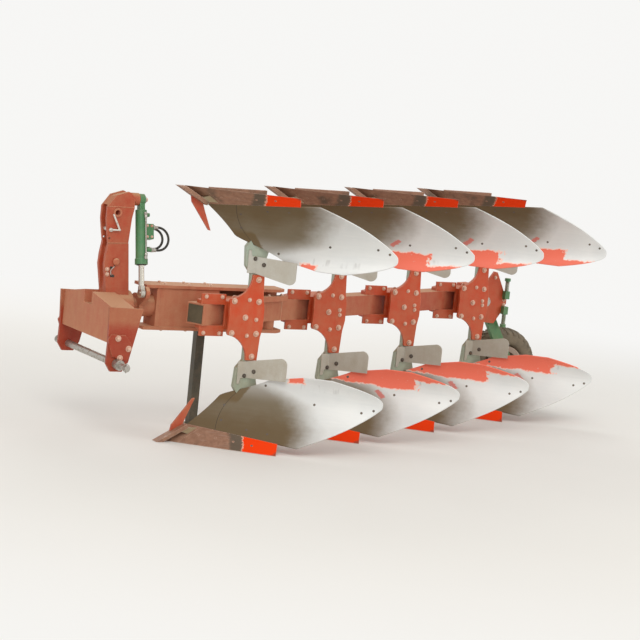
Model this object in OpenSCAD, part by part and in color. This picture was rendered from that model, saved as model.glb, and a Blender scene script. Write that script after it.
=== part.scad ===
// Mounted reversible plough with four furrows, standing on its lower bodies.
// X runs back along the line of travel, Y to the right, Z up, floor at Z = 0.

/* [Row of bodies] */
// Height of the beam axis over the share tips
axis_h = 840; // [820:5:880]
// Distance from leg to leg along the line of travel
leg_pitch = 850; // [820:10:950]
// Furrow width of one body
furrow_w = 400; // [350:10:450]
// Number of legs
leg_count = 4; // [3:1:4]
// Sideways place of the first leg from the turning axis
first_leg_y = -380; // [-400:5:-340]

/* [Main beam] */
// Outer size of the square beam
beam_w = 140; // [120:5:150]
// Wall thickness of the beam
beam_wall = 10; // [6:1:12]
// Gap between the leg plane and the beam axis, across the travel
beam_gap = 200; // [180:5:230]
// Length of beam ahead of the first leg
beam_front = 345; // [300:5:360]
// Length of beam behind the last leg
beam_rear = 300; // [260:10:340]

/* [Legs] */
// Thickness of one leg plate
leg_plate_t = 20; // [16:1:25]
// Thickness of the shank between the plates
shank_t = 35; // [30:1:40]
// Near face of the near leg plate, from the leg's own plane
leg_face_y = -60; // [-70:1:-50]
// Half the height of the leg plates over the beam axis
leg_reach = 285; // [260:5:290]
// Half the width of the leg plates at the beam
leg_half_w = 122; // [110:1:130]
// Width of the near leg plate at the neck
neck_w = 80; // [70:1:90]
// Place of the neck's front edge behind the leg's axis
neck_x = 33; // [25:1:40]
// How far the far plate is set back behind the near one
far_set = 36; // [30:1:40]
// Radius of the hollow in the front edge of a leg plate
waist_r = 165; // [140:5:180]

/* [Bodies] */
// Reach of the point ahead of the leg
point_reach = 555; // [520:5:580]
// Height of the mouldboard's upper edge over the share tips
board_top = 486; // [460:2:500]
// Width of the mouldboard out to its tail
board_w = 645; // [600:5:660]
// Height of the tail's outermost edge
tail_h = 360; // [340:5:380]
// Thickness of the mouldboard
board_t = 9; // [7:1:12]
// Width of the share along its cutting edge, across the travel
share_w = 525; // [480:5:540]
// Thickness of the share
share_t = 12; // [10:1:14]
// Angle of the board to the travel at its flattest
board_deg = 38; // [36:1:42]
// Length of the landside behind the leg's axis
land_end = 100; // [80:5:160]
// Gap left at the seam between share and mouldboard
seam_gap = 0.4; // [0.2:0.1:2]

/* [Headstock] */
// Front face of the cross box, ahead of the first leg
box_front = -940; // [-950:5:-930]
// Depth of the cross box along the travel
box_w = 160; // [150:5:170]
// Height of the cross box
box_h = 200; // [190:5:210]
// Height of the tower's cheeks up to the foot of their hood
cheek_h = 645; // [630:5:660]
// Half the distance between the two side plates
side_y = 400; // [380:5:420]
// Place of the lower link pins ahead of the first leg
link_x = -885; // [-900:5:-870]
// Drop of the lower link pins under the turning axis
link_drop = 330; // [310:5:350]
// Diameter of the lower link pins, category 3
link_pin_d = 36.6; // [28:0.1:37]
// Distance between the shoulders of the lower link pins
link_span = 965; // [900:5:1010]
// Height of the upper link bore over the turning axis
top_link_up = 610; // [590:5:630]
// Diameter of the upper link bore, category 3
top_link_d = 32.2; // [25.7:0.1:32.4]
// Half the distance between the outer faces of the tower's cheeks
cheek_y = 56; // [52:2:70]
// Thickness of the tower's cheeks and side plates
cheek_t = 22; // [18:1:25]

/* [Turning gear] */
// Diameter of the turning axle in its bearing
axle_d = 90; // [80:1:100]
// Running clearance on the radius of every turning pair
run_gap = 0.06; // [0.02:0.01:0.1]
// Plane of the turning cylinder
cyl_x = -626; // [-632:1:-615]
// Height of the cylinder's top pin over the turning axis
cyl_up = 700; // [690:5:710]
// Sideways place of the crank's pin
crank_y = -140; // [-150:2:-130]
// Height of the crank's pin over the turning axis
crank_up = 98; // [90:2:105]
// Diameter of the cylinder barrel
barrel_d = 76; // [70:1:80]
// Diameter of the piston rod
rod_d = 38; // [34:1:42]

/* [Front frame] */
// Rear end of the front frame, behind the first leg
frame_rear = 480; // [450:10:520]
// Half the width of the front frame
frame_half_w = 100; // [90:2:110]
// Outer height of the front frame
frame_h = 300; // [280:5:310]
// Thickness of its upper and lower flanges
flange_t = 20; // [16:1:25]
// Thickness of the webs between the flanges
web_t = 14; // [10:1:16]

/* [Depth wheel] */
// Diameter of the tyre
tyre_d = 620; // [580:5:640]
// Width of the tyre
tyre_w = 200; // [180:5:220]
// Diameter of the rim
rim_d = 340; // [330:5:360]
// Distance from the last leg back to the wheel arm's pivot
arm_back = 180; // [170:5:200]
// Distance from the last leg back to the wheel's hub
hub_back = 495; // [480:5:520]
// Distance from the last leg's plane to the tyre's near face
wheel_out = 140; // [120:5:160]

/* [Hidden] */

$fn = 64;
beam_deg = atan(furrow_w / leg_pitch);
beam_len = beam_front + beam_rear + (leg_count - 1) * norm([leg_pitch, furrow_w]);
leg_plane = leg_face_y + leg_plate_t;
shank_far = leg_plane + shank_t;
console_y = shank_far + leg_plate_t;
beam_y = first_leg_y + beam_gap;
// Face of the share and board at the furrow wall
wall_y = 24;
wall_inset = 75;
board_bow = 0.000126;
seam_h = 112;
seam_fall = 0.11;
// Middle of the whole plough, so that the origin lies under the middle of its box
hitch_front = 965;
board_tail_y = first_leg_y + wall_y - board_w;
beam_end_y = beam_y + (beam_len - beam_front) * sin(beam_deg) + beam_w / 2 * cos(beam_deg);
last_leg_x = (leg_count - 1) * leg_pitch;
last_leg_y = first_leg_y + (leg_count - 1) * furrow_w;
arm_x = last_leg_x + arm_back;
hub_x = last_leg_x + hub_back;
tyre_y = last_leg_y + wheel_out;
mid_x = (hub_x + tyre_d / 2 - hitch_front) / 2;
mid_y = (board_tail_y + beam_end_y) / 2;

red = [0.80, 0.27, 0.16];
bare = [0.75, 0.74, 0.72];
worn = [0.52, 0.38, 0.30];
dark = [0.13, 0.13, 0.12];
green = [0.28, 0.55, 0.38];
pale = [0.80, 0.83, 0.79];

// Places

module place() translate([-mid_x, -mid_y, axis_h]) children();

// One leg's own frame, on the beam axis
module at_leg(i) place() translate([i * leg_pitch, first_leg_y + i * furrow_w, 0]) children();

// Every body of one set, drawn upright with the floor at Z = 0; up turns it over
module each_body(up)
    for (i = [0 : leg_count - 1])
        at_leg(i) mirror([0, 0, up ? 1 : 0]) translate([0, 0, -axis_h]) children();

// The beam's own frame, with X along the beam
module on_beam() place() translate([0, beam_y, 0]) rotate([0, 0, beam_deg]) children();

// A flat plate that stands along the travel, from y0 on, with its outline in X and Z
module upright(y0, t) translate([0, y0 + t, 0]) rotate([90, 0, 0]) linear_extrude(t) children();

// A round bar along X, Y or Z
module bar_x(x0, x1, d) translate([x0, 0, 0]) rotate([0, 90, 0]) cylinder(h = x1 - x0, d = d);
module bar_y(y0, y1, d) translate([0, y0, 0]) rotate([-90, 0, 0]) cylinder(h = y1 - y0, d = d);

// A round bar between two points
module rod_between(a, b, d) {
    run = b - a;
    turn = atan2(run.y, run.x);
    lean = acos(run.z / norm(run));
    translate(a) rotate([0, lean, turn]) cylinder(h = norm(run), d = d);
}

// Points of an arc around a centre
function arc(c, r, a0, a1, n = 8) =
    [for (k = [0 : n]) let (a = a0 + (a1 - a0) * k / n) [c.x + r * cos(a), c.y + r * sin(a)]];

// Shape of the working face

function shin_x(z) = -490 + 1.62 * z - 0.00118 * z * z;
function board_angle(z) = z < 220
    ? board_deg + 6 * pow((220 - z) / 220, 2)
    : board_deg + 7.2 * pow((z - 220) / 256, 3);
function on_board(w, z) =
    [shin_x(z) + w / tan(board_angle(z)) + board_bow * w * w, wall_y - w, z];
function face_normal(w, z) = let (
    n = cross(on_board(w + 1, z) - on_board(w - 1, z), on_board(w, z + 1) - on_board(w, z - 1))
) n / norm(n);
function seam_z(w) = seam_h - seam_fall * w;
// Inner and outer edge of the board at each height
function board_in(z) = z < 220 ? 6 : z > 300 ? wall_inset : 6 + (wall_inset - 6) * (z - 220) / 80;
function board_out(z) = z < tail_h - 15
    ? board_w - (tail_h - 15 - z) * 0.4
    : z < tail_h + 15 ? board_w : board_w - 185 * pow((z - tail_h - 15) / (board_top - tail_h - 15), 2);

// Closed faces of a sheet with n by m cells, front points first
function sheet_faces(n, m) = let (
    f = function (i, j) j * (n + 1) + i,
    b = function (i, j) (m + 1) * (n + 1) + j * (n + 1) + i
) concat(
    [for (j = [0 : m - 1], i = [0 : n - 1]) each [
        [f(i, j), f(i, j + 1), f(i + 1, j + 1)], [f(i, j), f(i + 1, j + 1), f(i + 1, j)],
        [b(i, j), b(i + 1, j + 1), b(i, j + 1)], [b(i, j), b(i + 1, j), b(i + 1, j + 1)]
    ]],
    [for (i = [0 : n - 1]) each [
        [f(i, 0), f(i + 1, 0), b(i + 1, 0)], [f(i, 0), b(i + 1, 0), b(i, 0)],
        [f(i + 1, m), f(i, m), b(i, m)], [f(i + 1, m), b(i, m), b(i + 1, m)]
    ]],
    [for (j = [0 : m - 1]) each [
        [f(0, j + 1), f(0, j), b(0, j)], [f(0, j + 1), b(0, j), b(0, j + 1)],
        [f(n, j), f(n, j + 1), b(n, j + 1)], [f(n, j), b(n, j + 1), b(n, j)]
    ]]
);

module board_sheet() {
    n = 12;
    m = 12;
    grid = [for (j = [0 : m], i = [0 : n]) let (
        flat_z = 62 + (board_top - 62) * j / m,
        w = board_in(flat_z) + (board_out(flat_z) - board_in(flat_z)) * i / n,
        z = flat_z + (1 - j / m) * (seam_z(w) + seam_gap - 62)
    ) [w, z]];
    front = [for (g = grid) on_board(g.x, g.y)];
    back = [for (g = grid) on_board(g.x, g.y) - board_t * face_normal(g.x, g.y)];
    polyhedron(concat(front, back), sheet_faces(n, m));
}

module share_sheet() {
    n = 8;
    m = 3;
    grid = [for (j = [0 : m], i = [0 : n]) let (
        w = wall_inset + (share_w - 85 * j / m - wall_inset) * i / n,
        z = seam_z(w) * j / m
    ) [w, z]];
    front = [for (g = grid) on_board(g.x, g.y)];
    back = [for (g = grid) let (
        p = on_board(g.x, g.y) - share_t * min(1, 0.15 + g.y / 40) * face_normal(g.x, g.y)
    ) [p.x, p.y, max(0, p.z)]];
    polyhedron(concat(front, back), sheet_faces(n, m));
}

// Pieces of one body, upright, floor at Z = 0

// Rise of the point's upper face
point_end = [-346, 117];
point_rise = point_end.y / (point_end.x + point_reach);
function on_point(x) = [x, (x + point_reach) * point_rise];
// Its lower face, which the shank's nose meets
point_heel = [-333, 95];
point_sole = -point_reach + 50;
function under_point(x) = [x, point_heel.y * (x - point_sole) / (point_heel.x - point_sole)];

module point() upright(-44, 70)
    polygon([[-point_reach, 0], [point_sole, 0], point_heel, point_end]);

module knife() upright(6, 16)
    polygon([on_point(-440), on_point(-352), [-334, 160], [-281, 285], [-296, 282], [-432, 104]]);

module landside() upright(shank_far, 25)
    polygon([[-318, 0], [land_end, 0], [land_end, 92], [land_end - 8, 100], [-290, 100], [-318, 60]]);

// Shank and frog cut from one plate, from the beam down to the share
module shank() upright(leg_plane, shank_t) polygon([
    [neck_x - 8, axis_h - 30], [neck_x - 8, axis_h - leg_reach], [-20, axis_h - 340], [-30, axis_h - 468],
    [4.8, 322], [2.8, 295], [-35, 240], [-85, 194], [-215, 96],
    point_heel, under_point(-380), [-300, 44], [60, 50], [140, 240], [140, 390],
    [neck_x + neck_w - 5, axis_h - 330], [neck_x + neck_w - 5, axis_h - 30]]);

// Trash board: a bent plate bolted to the shank over the board's upper edge
module trash_board() {
    run = 285;
    bend_x = 52;
    turn = 47;
    t = 8;
    corner_r = 45;
    top = axis_h - leg_reach - 10;
    along = [cos(turn), -sin(turn)];
    near = [-sin(turn), -cos(turn)];
    bend = [bend_x, leg_plane];
    intersection() {
        translate([0, 0, 380]) linear_extrude(top - 320) polygon([
            [-12, leg_plane], [-12, leg_plane - t], [bend_x - t * tan(turn / 2), leg_plane - t],
            bend + run * along + t * near, bend + run * along, bend]);
        translate(bend) rotate([0, 0, -turn]) upright(-100, 200) polygon(concat(
            [[-60, 395], [-28, 395], [-22, 434], [run + 1, 446]],
            arc([run + 1 - corner_r, top + 5], corner_r, 0, 90, 6), [[-10, top], [-60, top]]));
    }
}

// Stay from the frog to the back of the board
module stay() {
    foot = [112, leg_plane - 16, 268];
    head = on_board(430, 285) - 26 * face_normal(430, 285);
    rod_between(foot, head, 26);
    translate([70, leg_plane - 14, 240]) cube([70, 14, 56]);
}

// Outline of a leg plate, with its front edge set back
module leg_outline(back) polygon(concat(
    [[neck_x + neck_w, leg_reach], [leg_half_w, 130], [leg_half_w + 14, 60],
     [leg_half_w + 14, -60], [leg_half_w, -130], [neck_x + neck_w, -leg_reach]],
    arc([neck_x + back - waist_r, -leg_reach], waist_r, 0, 84, 8),
    [[back - leg_half_w, -108], [back - leg_half_w + 4, 0], [back - leg_half_w, 108]],
    arc([neck_x + back - waist_r, leg_reach], waist_r, -84, 0, 8)));

// Headstock

module headstock_box() color(red) place() {
    difference() {
        translate([box_front, -side_y, -box_h]) cube([box_w, 2 * side_y, box_h]);
        translate([box_front + 12, -side_y - 1, 12 - box_h]) cube([box_w - 24, 2 * side_y + 2, box_h - 24]);
    }
    // Sloping ledges from the tower's foot down to the side plates
    for (s = [-1, 1]) mirror([0, s < 0 ? 1 : 0, 0])
        translate([box_front, 0, 0]) rotate([90, 0, 90]) linear_extrude(box_w)
            polygon([[cheek_y + 6, 0], [side_y, 0], [side_y, 30], [cheek_y + 6, 86]]);
}

cheek_foot = [[-848, 0], [-844, 96], [-872, 262], [-868, 330], [-856, 405]];
cheek_rear = [[-714, 410], [-682, 80], [-682, 0]];
module cheek_outline() polygon(concat(
    cheek_foot, [[-868, 470], [-882, 560], [-882, cheek_h], [-826, 722], [-738, 750], [-716, 740],
    [-694, 700], [-690, cheek_h], [-703, 575]], cheek_rear));

module headstock_tower() color(red) place() {
    inner = cheek_y - cheek_t;
    difference() {
        union() {
            for (y = [-cheek_y, inner]) upright(y, cheek_t) cheek_outline();
            // Doublers on the lower half of the cheeks
            for (y = [-cheek_y - 6, cheek_y]) upright(y, 6) polygon(concat(cheek_foot, cheek_rear));
            // Front and rear plates
            translate([-840, -inner, 0]) cube([16, 2 * inner, 380]);
            translate([-726, -inner, 60]) cube([14, 2 * inner, 320]);
            // Boss for the cylinder's pin, out behind the hood
            translate([0, 0, cyl_up]) bar_x(-716, cyl_x - 22, 84);
        }
        translate([-808, 0, top_link_up]) bar_y(-cheek_y - 1, cheek_y + 1, top_link_d);
        translate([-848, 0, 496]) bar_y(-cheek_y - 1, cheek_y + 1, 25);
        translate([-850, 0, 440]) bar_y(-cheek_y - 1, cheek_y + 1, 16);
        translate([0, 0, cyl_up]) bar_x(-702, cyl_x, 32);
        bar_x(box_front + box_w, bearing_end + 5, bearing_d);
    }
    // Sloping and upper plate of the hood
    upright(-inner, 2 * inner) polygon([
        [-874, cheek_h + 12], [-862, cheek_h + 8], [-818, 702], [-742, 724], [-722, 732], [-740, 742], [-826, 716]]);
}

module side_plates() color(red) place() for (s = [-1, 1]) mirror([0, s < 0 ? 1 : 0, 0]) {
    difference() {
        upright(side_y, cheek_t) polygon([
            [-hitch_front, 36], [link_x + 157, 30], [link_x + 80, 12 - link_drop], [link_x + 40, -link_drop - 50],
            [link_x - 40, -link_drop - 50], [link_x - 73, -link_drop], [link_x - 70, 130 - link_drop]]);
        translate([link_x, 0, -link_drop])
            bar_y(side_y - 1, side_y + cheek_t + 1, link_pin_d + 10);
    }
    // Six-sided cover plate over the box's open end
    upright(side_y + cheek_t, 12) translate([link_x, -link_drop]) polygon([
        [-78, 158], [-58, 190], [43, 188], [88, 131], [90, 87], [61, 20], [-40, 50]]);
}

module link_shaft() color(bare) place() translate([link_x, 0, -link_drop]) {
    shoulder = link_span / 2;
    bar_y(-side_y - cheek_t - 12, side_y + cheek_t + 12, link_pin_d + 10);
    for (s = [-1, 1]) mirror([0, s < 0 ? 1 : 0, 0]) {
        bar_y(side_y + cheek_t, shoulder, link_pin_d + 30);
        bar_y(shoulder, shoulder + 118, link_pin_d);
    }
}

// Stored pin, with a handle bent from round bar
module top_link_pin() color(bare) place() translate([-848, 0, 496]) {
    bar_y(-cheek_y - 14, cheek_y + 24, 25);
    rod_between([-14, -cheek_y - 14, 0], [64, -cheek_y - 14, 2], 13);
    rod_between([60, -cheek_y - 14, 0], [4, -cheek_y - 22, 104], 13);
}

bearing_d = 190;
// Rear end of the bearing, clear of the rod's eye as it swings past
bearing_end = cyl_x - 26;
module axle_bearing() color(red) place() difference() {
    union() {
        bar_x(box_front + box_w, bearing_end, bearing_d);
        translate([box_front + box_w, -98, -110]) cube([28, 196, 110]);
    }
    bar_x(-800, -600, axle_d + 2 * run_gap);
}

module cylinder_pin() color(bare) place() translate([0, 0, cyl_up]) {
    bar_x(-702, cyl_x + 30, 31.9);
    bar_x(cyl_x + 20, cyl_x + 30, 50);
}

// Turning cylinder, lying along the line from its pin to the crank

cyl_drop = cyl_up - crank_up;
cyl_len = norm([crank_y, cyl_drop]);
cyl_lean = atan2(crank_y, cyl_drop);
module on_cylinder() place() translate([cyl_x, 0, cyl_up]) rotate([cyl_lean, 0, 0]) children();

barrel_top = 70;
barrel_end = 430;
// Outer face of the valve block, of the hose ports, and height of the lower ports
block_x = 76;
port_x = 62;
loop_end = -334;
hose_d = 16;

module cylinder_barrel() color(green) on_cylinder() {
    difference() {
        union() {
            translate([0, 0, -barrel_end]) cylinder(h = barrel_end - barrel_top, d = barrel_d);
            translate([0, 0, -barrel_end]) cylinder(h = 38, d = barrel_d + 10);
            bar_x(-18, 18, 76);
            translate([-18, -24, -barrel_top - 2]) cube([36, 48, 60]);
            translate([0, 0, -100]) bar_x(0, barrel_d / 2 + 20, 26);
            // Ports that the hoses come back to
            for (p = [[-16, loop_end], [16, loop_end + 12]]) translate([0, p.x, p.y]) bar_x(0, port_x, 26);
        }
        bar_x(-20, 20, 31.9 + 2 * run_gap);
        translate([0, 0, -barrel_end - 1]) cylinder(h = 60, d = rod_d + 2 * run_gap);
        translate([0, 0, -barrel_end + 50]) cylinder(h = barrel_end - barrel_top - 70, d = barrel_d - 16);
    }
}

module valve_block() color(green) on_cylinder() difference() {
    translate([16, -34, -262]) cube([block_x - 16, 68, 100]);
    translate([0, 0, -300]) cylinder(h = 200, d = barrel_d);
}

module cylinder_rod() color([0.82, 0.83, 0.84]) on_cylinder() {
    translate([0, 0, -cyl_len + 20]) cylinder(h = cyl_len - 210, d = rod_d);
    translate([0, 0, -cyl_len]) bar_x(-15, 15, 64);
    translate([-15, -20, -cyl_len + 10]) cube([30, 40, 36]);
    translate([0, 0, -cyl_len]) bar_x(-18, 18.5, 30);
}

// A hose as one swept tube through a short list of points
function hose_dir(p, k) = let (
    a = p[max(k - 1, 0)], b = p[min(k + 1, len(p) - 1)]
) (b - a) / norm(b - a);
module hose(path, d) {
    sides = 8;
    n = len(path);
    rings = [for (k = [0 : n - 1]) let (
        t = hose_dir(path, k), u = cross(t, [0, 1, 0]) / norm(cross(t, [0, 1, 0])), v = cross(t, u)
    ) for (s = [0 : sides - 1]) path[k] + d / 2 * (cos(360 * s / sides) * u + sin(360 * s / sides) * v)];
    walls = [for (k = [0 : n - 2], s = [0 : sides - 1]) let (
        a = k * sides + s, b = k * sides + (s + 1) % sides
    ) [a, a + sides, b + sides, b]];
    polyhedron(rings, concat(walls, [[for (s = [0 : sides - 1]) s]],
        [[for (s = [sides - 1 : -1 : 0]) (n - 1) * sides + s]]));
}

// One loop straight out of the valve block, around in a half circle and back to its port
function loop_path(y0, z0, z1, run) = let (r = (z0 - z1) / 2) concat(
    [[block_x + 0.3, y0, z0]],
    [for (k = [0 : 16]) let (a = 180 * k / 16) [block_x + run + r * sin(a), y0, z0 - r * (1 - cos(a))]],
    [[port_x + 0.3, y0, z1]]);

module cylinder_hoses() color(dark) on_cylinder() {
    hose(loop_path(-16, -182, loop_end, 38), hose_d);
    hose(loop_path(16, -188, loop_end + 12, 18), hose_d);
}

// Turning axle and front frame

module turning_axle() color(bare) place() {
    bar_x(-768, cyl_x + 20, axle_d);
    bar_x(cyl_x + 45, -490, 150);
    // Crank with its boss out at the rod's eye
    translate([cyl_x + 20, 0, 0]) rotate([90, 0, 90]) linear_extrude(25) union() {
        circle(r = 82);
        translate([crank_y, crank_up]) circle(r = 42);
        rotate(90 + atan2(-crank_y, crank_up)) translate([0, -42]) square([norm([crank_y, crank_up]), 84]);
    }
}

module front_frame() color(red) place() {
    top = frame_h / 2;
    front = cyl_x + 52;
    for (z = [-top, top - flange_t]) translate([0, 0, z]) linear_extrude(flange_t)
        polygon([[front, -frame_half_w], [frame_rear - 60, -frame_half_w], [frame_rear, -frame_half_w + 50],
                 [frame_rear, frame_half_w], [front, frame_half_w]]);
    translate([-490, -frame_half_w + 8, -top + flange_t])
        cube([24, 2 * frame_half_w - 16, frame_h - 2 * flange_t]);
    // Near web, ending where the beam comes in, and far web, cut clear of the beam
    translate([-466, -frame_half_w + 12, -top + flange_t]) cube([436, web_t, frame_h - 2 * flange_t]);
    difference() {
        translate([-466, frame_half_w - 26, -top + flange_t])
            cube([frame_rear + 466, web_t, frame_h - 2 * flange_t]);
        translate([0, beam_y, -beam_w / 2 - 2]) rotate([0, 0, beam_deg])
            translate([-beam_front, -beam_w / 2 - 2, 0]) cube([beam_len, beam_w + 4, beam_w + 4]);
    }
    // Bosses over and under the beam at its pivot
    pivot_x = -beam_y / tan(beam_deg);
    for (s = [-1, 1]) mirror([0, 0, s < 0 ? 1 : 0])
        translate([pivot_x, 0, beam_w / 2]) cylinder(h = top - flange_t - beam_w / 2, r = 60);
}

module main_beam() color(red) on_beam() difference() {
    translate([-beam_front, -beam_w / 2, -beam_w / 2]) cube([beam_len, beam_w, beam_w]);
    translate([-beam_front - 1, -beam_w / 2 + beam_wall, -beam_w / 2 + beam_wall])
        cube([beam_len + 2, beam_w - 2 * beam_wall, beam_w - 2 * beam_wall]);
}

module beam_caps() color(dark) on_beam()
    for (x = [-beam_front - 4, beam_len - beam_front - 16])
        translate([x, -beam_w / 2 + beam_wall, -beam_w / 2 + beam_wall])
            cube([20, beam_w - 2 * beam_wall, beam_w - 2 * beam_wall]);

// Flat bar that ties the first two legs, over the beam
module width_bar() color(red) on_beam()
    translate([165, -beam_w / 2 - 44, beam_w / 2]) cube([340, 50, 36]);

// Legs

// Reach of a console's lips ahead of the leg's axis
lip_x = 292;
module leg_consoles() color(red) for (i = [0 : leg_count - 1]) at_leg(i) {
    arm_z = beam_w / 2;
    far_y = beam_gap + beam_w / 2 / cos(beam_deg);
    translate([-leg_half_w + 6, console_y, -arm_z - 24]) cube([2 * leg_half_w - 12, 18, 2 * arm_z + 48]);
    for (s = [-1, 1]) mirror([0, 0, s < 0 ? 1 : 0]) {
        translate([0, 0, arm_z]) linear_extrude(24)
            polygon([[-lip_x, console_y], [leg_half_w - 6, console_y], [leg_half_w + 30, far_y + 60],
                     [-leg_half_w, far_y - 30], [-lip_x, console_y + 70]]);
        translate([-lip_x, console_y, arm_z + 24]) cube([lip_x - leg_half_w + 6, 14, 46]);
    }
}

module leg_plates() color(red) for (i = [0 : leg_count - 1]) at_leg(i) {
    upright(leg_face_y, leg_plate_t) leg_outline(0);
    upright(shank_far, leg_plate_t) leg_outline(far_set);
}

module lower_shanks() color(pale) each_body(false) shank();
module lower_boards() color(bare) each_body(false) board_sheet();
module lower_shares() color(worn) each_body(false) share_sheet();
module lower_points() color(worn) each_body(false) point();
module lower_knives() color(red) each_body(false) knife();
module lower_landsides() color(worn) each_body(false) landside();
module lower_trash_boards() color(pale) each_body(false) trash_board();
module lower_stays() color(red) each_body(false) stay();
module upper_shanks() color(pale) each_body(true) shank();
module upper_boards() color(bare) each_body(true) board_sheet();
module upper_shares() color(worn) each_body(true) share_sheet();
module upper_points() color(worn) each_body(true) point();
module upper_knives() color(red) each_body(true) knife();
module upper_landsides() color(worn) each_body(true) landside();
module upper_trash_boards() color(pale) each_body(true) trash_board();
module upper_stays() color(red) each_body(true) stay();

// Depth wheel

arm_y = tyre_y - 62;
hub_drop = axis_h - tyre_d / 2;

fin_y = arm_y - 44;
module wheel_bracket() color(red) place() {
    // Fin beside the arm, drawn behind the last leg's axis
    difference() {
        upright(fin_y, 18) translate([last_leg_x, 0]) polygon([
            [130, 120], [178, 160], [232, 236], [262, 230], [340, 76], [368, 40], [368, -10], [336, -70],
            [270, -168], [178, -160], [130, -120]]);
        translate([arm_x, 0, 0]) bar_y(fin_y - 1, fin_y + 19, arm_pin_d);
    }
    // Plates over and under the last console
    for (z = [-112, 94]) translate([last_leg_x, fin_y, z]) linear_extrude(18)
        polygon([[60, 0], [170, 0], [170, 300], [60, 250]]);
    // Bearing tube from the beam's near face out to the arm
    difference() {
        translate([arm_x, 0, 0]) bar_y(arm_y + 27, beam_y + arm_x * tan(beam_deg), 84);
        translate([0, beam_y, -beam_w]) rotate([0, 0, beam_deg])
            translate([-beam_front, -beam_w / 2, 0]) cube([beam_len, beam_w, 2 * beam_w]);
        translate([arm_x, 0, 0]) bar_y(arm_y, pin_end, arm_pin_d);
    }
}

arm_pin_d = 50;
pin_end = arm_y + 110;
module arm_pin() color(bare) place() translate([arm_x, 0, 0]) {
    bar_y(fin_y, pin_end, arm_pin_d);
    bar_y(fin_y - 8, fin_y, 76);
}

// Depth spindles above and below, on the fin's near side
module stop_spindles() color(green) place() for (s = [-1, 1])
    mirror([0, 0, s < 0 ? 1 : 0]) translate([last_leg_x + 346, fin_y - 22, 64]) {
        cylinder(h = 104, d = 30);
        translate([0, 0, 104]) cylinder(h = 22, d = 46);
        translate([-20, -20, -34]) cube([40, 42, 60]);
    }

// Arm from its pin to the hub and on past the hub
arm_tail = 230;
module wheel_arm() color(green) place() {
    a = [arm_x, 0];
    b = [hub_x, -hub_drop];
    run = b - a;
    difference() {
        translate([0, arm_y + 22, 0]) rotate([90, 0, 0]) linear_extrude(40) union() {
            translate(a) circle(r = 56);
            translate(b) circle(r = 60);
            translate(a) rotate(atan2(run.y, run.x)) polygon([
                [0, -42], [norm(run), -42], [norm(run) + arm_tail, -26], [norm(run) + arm_tail + 16, -10],
                [norm(run) + arm_tail + 16, 10], [norm(run) + arm_tail, 26], [norm(run), 42], [0, 42]]);
        }
        translate([a.x, 0, a.y]) bar_y(arm_y - 20, arm_y + 40, arm_pin_d + 2 * run_gap);
    }
    translate([b.x, 0, b.y]) bar_y(arm_y + 22, tyre_y + tyre_w - 20, 50);
}

module wheel_rim() color([0.72, 0.66, 0.62]) place() translate([hub_x, tyre_y, -hub_drop]) {
    rotate([-90, 0, 0]) rotate_extrude($fn = 96) difference() {
        polygon([[25 + run_gap, 18], [70, 18], [70, 70], [rim_d / 2 - 50, 92], [rim_d / 2 - 40, 14],
                 [rim_d / 2 - 8, 8], [rim_d / 2, 14], [rim_d / 2, 24], [rim_d / 2 - 26, 34],
                 [rim_d / 2 - 26, tyre_w - 34], [rim_d / 2, tyre_w - 24], [rim_d / 2, tyre_w - 14],
                 [rim_d / 2 - 34, tyre_w - 14], [rim_d / 2 - 40, 110], [70, 100], [70, 165], [25 + run_gap, 165]]);
    }
}

module tyre() color(dark) place() translate([hub_x, tyre_y, -hub_drop])
    rotate([-90, 0, 0]) rotate_extrude($fn = 96) polygon(concat(
        [[rim_d / 2 + 0.01, 14], [rim_d / 2 + 0.01, 24], [rim_d / 2 - 26 + 0.01, 34],
         [rim_d / 2 - 26 + 0.01, tyre_w - 34], [rim_d / 2 + 0.01, tyre_w - 24], [rim_d / 2 + 0.01, tyre_w - 14]],
        [[rim_d / 2 + 24, tyre_w - 3], [tyre_d / 2 - 42, tyre_w - 1], [tyre_d / 2 - 16, tyre_w - 9],
         [tyre_d / 2, tyre_w - 30], [tyre_d / 2, 30], [tyre_d / 2 - 16, 9], [tyre_d / 2 - 42, 1],
         [rim_d / 2 + 24, 3]]));

// Parking stand on the far side of the front frame

stand_x = -40;
stand_w = 60;
stand_y = frame_half_w + 2;

module stand_sleeve() color(red) place() difference() {
    translate([stand_x - 42, frame_half_w - 12, -frame_h / 2 + flange_t]) cube([84, 100, frame_h - 2 * flange_t]);
    translate([stand_x - stand_w / 2 - 0.5, stand_y + 11.5, -frame_h]) cube([stand_w + 1, stand_w + 1, 2 * frame_h]);
}

module parking_stand() color(dark) place() {
    difference() {
        translate([stand_x - stand_w / 2, stand_y + 12, -axis_h + 12]) cube([stand_w, stand_w, axis_h + 126]);
        translate([stand_x - stand_w / 2 + 6, stand_y + 18, -axis_h + 30])
            cube([stand_w - 12, stand_w - 12, axis_h + 126]);
    }
    translate([stand_x - 90, stand_y - 30, -axis_h]) cube([180, 150, 12]);
}

headstock_box();
headstock_tower();
side_plates();
link_shaft();
top_link_pin();
axle_bearing();
cylinder_pin();
cylinder_barrel();
valve_block();
cylinder_hoses();
cylinder_rod();
turning_axle();
front_frame();
main_beam();
beam_caps();
width_bar();
leg_consoles();
leg_plates();
lower_shanks();
lower_boards();
lower_shares();
lower_points();
lower_knives();
lower_landsides();
lower_trash_boards();
lower_stays();
upper_shanks();
upper_boards();
upper_shares();
upper_points();
upper_knives();
upper_landsides();
upper_trash_boards();
upper_stays();
wheel_bracket();
arm_pin();
stop_spindles();
wheel_arm();
wheel_rim();
tyre();
stand_sleeve();
parking_stand();
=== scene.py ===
# Mounted reversible plough: paint, wear, fasteners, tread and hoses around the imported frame.
import math
import random
import bpy
from mathutils import Matrix, Vector


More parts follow.
